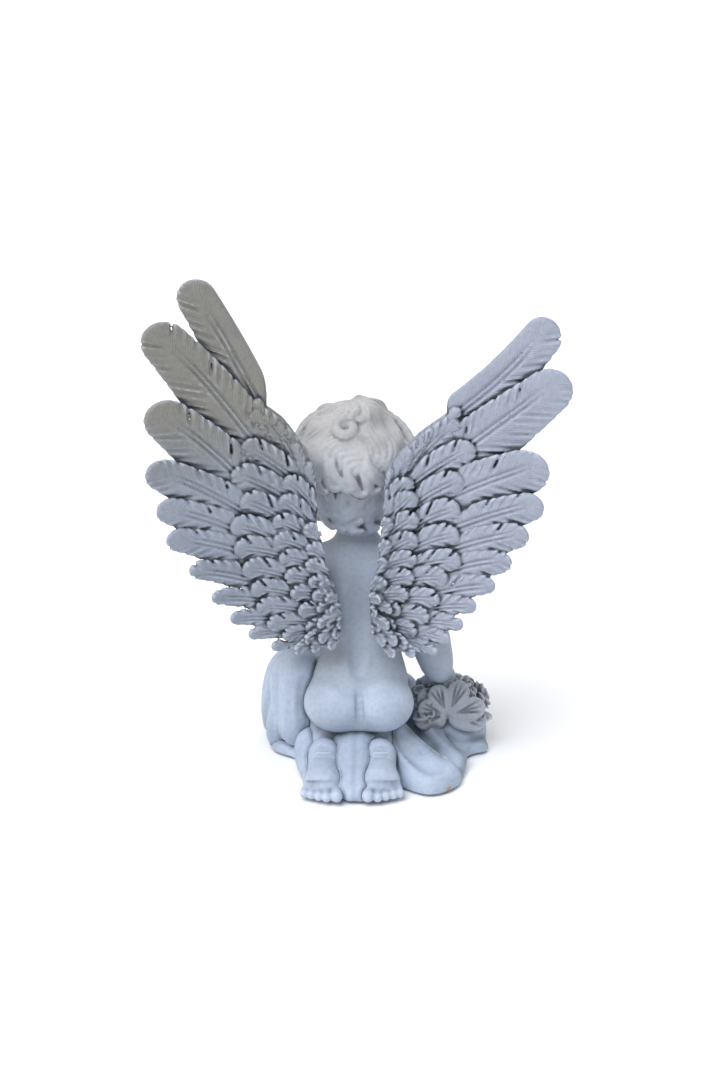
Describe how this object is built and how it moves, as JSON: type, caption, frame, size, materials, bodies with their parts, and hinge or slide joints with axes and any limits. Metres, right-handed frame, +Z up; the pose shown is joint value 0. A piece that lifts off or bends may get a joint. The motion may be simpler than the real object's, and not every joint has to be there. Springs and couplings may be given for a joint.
{
  "type": "angel figurine",
  "caption": "Kneeling cherub figurine in cast resin with large raised feathered wings, cloth draped on its lap and the ground, and a hand on a small bouquet.",
  "frame": {"origin": "centre of the base on the underside of the felt", "axes": "+Z up, the face looks along -Y, +X is the figure's own left side"},
  "size_m": [0.1602, 0.097, 0.2103],
  "materials": {
    "painted_resin_body": "matt painted stone-filled resin, light blue-grey with a darker wash in the hollows",
    "painted_resin_head": "matt painted stone-filled resin, warmer grey on the hair",
    "painted_resin_wings": "matt painted stone-filled resin, mid grey with a dark wash between the feathers",
    "painted_resin_cloth": "matt painted stone-filled resin, light blue-grey",
    "painted_resin_bouquet": "matt painted stone-filled resin, grey with a dark wash",
    "steel_dowel": "plain drawn rod",
    "raw_resin": "unpainted filled resin",
    "green_felt": "pressed felt sheet"
  },
  "bodies": {
    "root": {"body_casting": "painted_resin_body", "head_casting": "painted_resin_head", "left_arm_casting": "painted_resin_body", "right_arm_casting": "painted_resin_body", "left_wing_casting": "painted_resin_wings", "right_wing_casting": "painted_resin_wings", "ground_cloth_casting": "painted_resin_cloth", "lap_cloth_casting": "painted_resin_cloth", "bouquet_casting": "painted_resin_bouquet", "left_wing_lower_pin": "steel_dowel", "left_wing_upper_pin": "steel_dowel", "right_wing_lower_pin": "steel_dowel", "right_wing_upper_pin": "steel_dowel", "neck_pin": "steel_dowel", "left_arm_pin": "steel_dowel", "right_arm_pin": "steel_dowel", "bouquet_pin": "steel_dowel", "base_plug": "raw_resin", "base_felt": "green_felt"}
  },
  "joints": []
}
